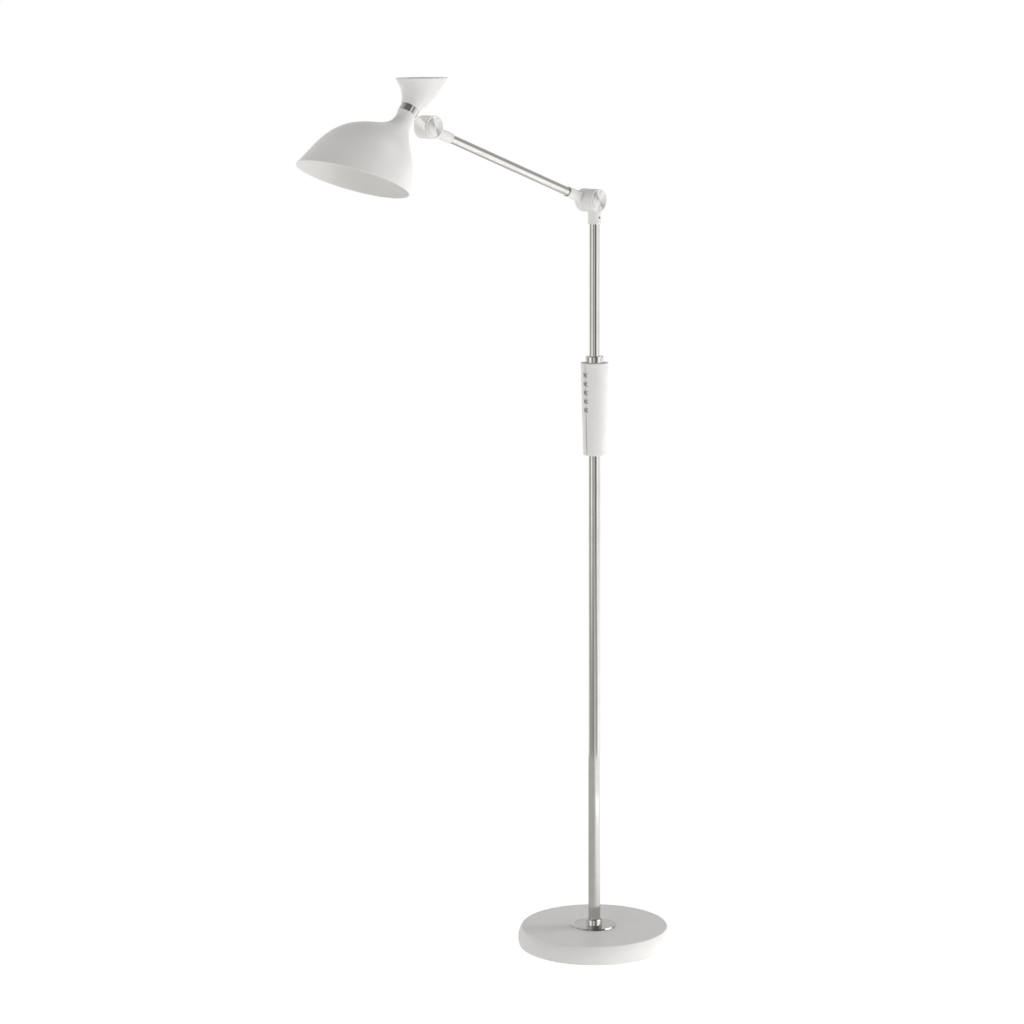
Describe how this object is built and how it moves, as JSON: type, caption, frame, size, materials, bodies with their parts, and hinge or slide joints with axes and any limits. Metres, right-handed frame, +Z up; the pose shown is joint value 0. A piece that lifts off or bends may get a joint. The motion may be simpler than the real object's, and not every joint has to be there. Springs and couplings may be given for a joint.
{
  "type": "adjustable arm floor lamp",
  "caption": "White and nickel floor lamp: round weighted base, telescopic pole with a laced leather grip, tilting arm and tilting two-part shade.",
  "frame": {"origin": "middle of the base's underside, on the floor", "axes": "+Z up along the pole; -X is the front, where the arm reaches; the elbow's and head's pins lie along Y"},
  "size_m": [0.7283, 0.254, 1.4407],
  "materials": {
    "white_paint": "satin",
    "polished_nickel": "polished",
    "turned_nickel": "turned and polished",
    "white_leather": "smooth",
    "lace_thread": "waxed",
    "grip_core": "matte",
    "cast_iron": "rough",
    "zinc_steel": "zinc plated",
    "black_steel": "blackened",
    "base_felt": "matte",
    "black_rubber": "matte",
    "nylon": "matte",
    "brass": "machined",
    "holder_plastic": "moulded",
    "bulb_glass": "opal"
  },
  "bodies": {
    "base": {"base_cover": "white_paint", "base_weight": "cast_iron", "base_plate": "zinc_steel", "base_pad": "base_felt", "base_screws": "zinc_steel", "cord_bushing": "black_rubber", "pole_flange": "polished_nickel", "foot_collar": "polished_nickel", "foot_washer": "zinc_steel", "foot_nut": "zinc_steel", "foot_stud": "zinc_steel", "foot_plug": "zinc_steel", "lower_pole": "polished_nickel", "grip_core": "grip_core", "grip_leather": "white_leather", "grip_lacing": "lace_thread"},
    "collar": {"height_collar": "polished_nickel", "collar_bush": "nylon"},
    "upper_pole": {"upper_pole": "polished_nickel", "slide_guide": "nylon", "elbow_post": "white_paint", "elbow_set_screw": "black_steel", "elbow_cap_near": "turned_nickel", "elbow_friction_washer": "nylon"},
    "arm": {"elbow_knuckle": "white_paint", "elbow_pin": "zinc_steel", "elbow_spring_washer": "zinc_steel", "elbow_nut": "zinc_steel", "elbow_cap_far": "turned_nickel", "arm_tube": "polished_nickel", "arm_end_rings": "polished_nickel", "arm_set_screws": "black_steel", "arm_knuckle": "white_paint", "head_pin": "zinc_steel", "head_pin_nut": "zinc_steel", "head_cap_far": "turned_nickel"},
    "head": {"head_bracket": "white_paint", "head_cap_near": "turned_nickel", "neck_ring": "polished_nickel", "neck_core": "zinc_steel", "shade_bell": "white_paint", "shade_cone": "white_paint", "lamp_nipple": "brass", "nipple_nuts": "brass", "lamp_holder": "holder_plastic", "bulb_cap": "brass", "bulb_glass": "bulb_glass"}
  },
  "joints": [
    {"name": "pole_swivel", "type": "hinge", "parent": "base", "child": "collar", "pos_m": [0, 0, 0.98], "axis": [0, 0, 1], "range_deg": [-170, 170]},
    {"name": "height_slide", "type": "slide", "parent": "collar", "child": "upper_pole", "axis": [0, 0, 1], "range_m": [-0.2, 0.1]},
    {"name": "elbow_tilt", "type": "hinge", "parent": "upper_pole", "child": "arm", "pos_m": [0, 0.01005, 1.237], "axis": [0, 1, 0], "range_deg": [-55, 60]},
    {"name": "head_tilt", "type": "hinge", "parent": "arm", "child": "head", "pos_m": [-0.35496, 0.01155, 1.36549], "axis": [0, 1, 0], "range_deg": [-50, 50]}
  ]
}
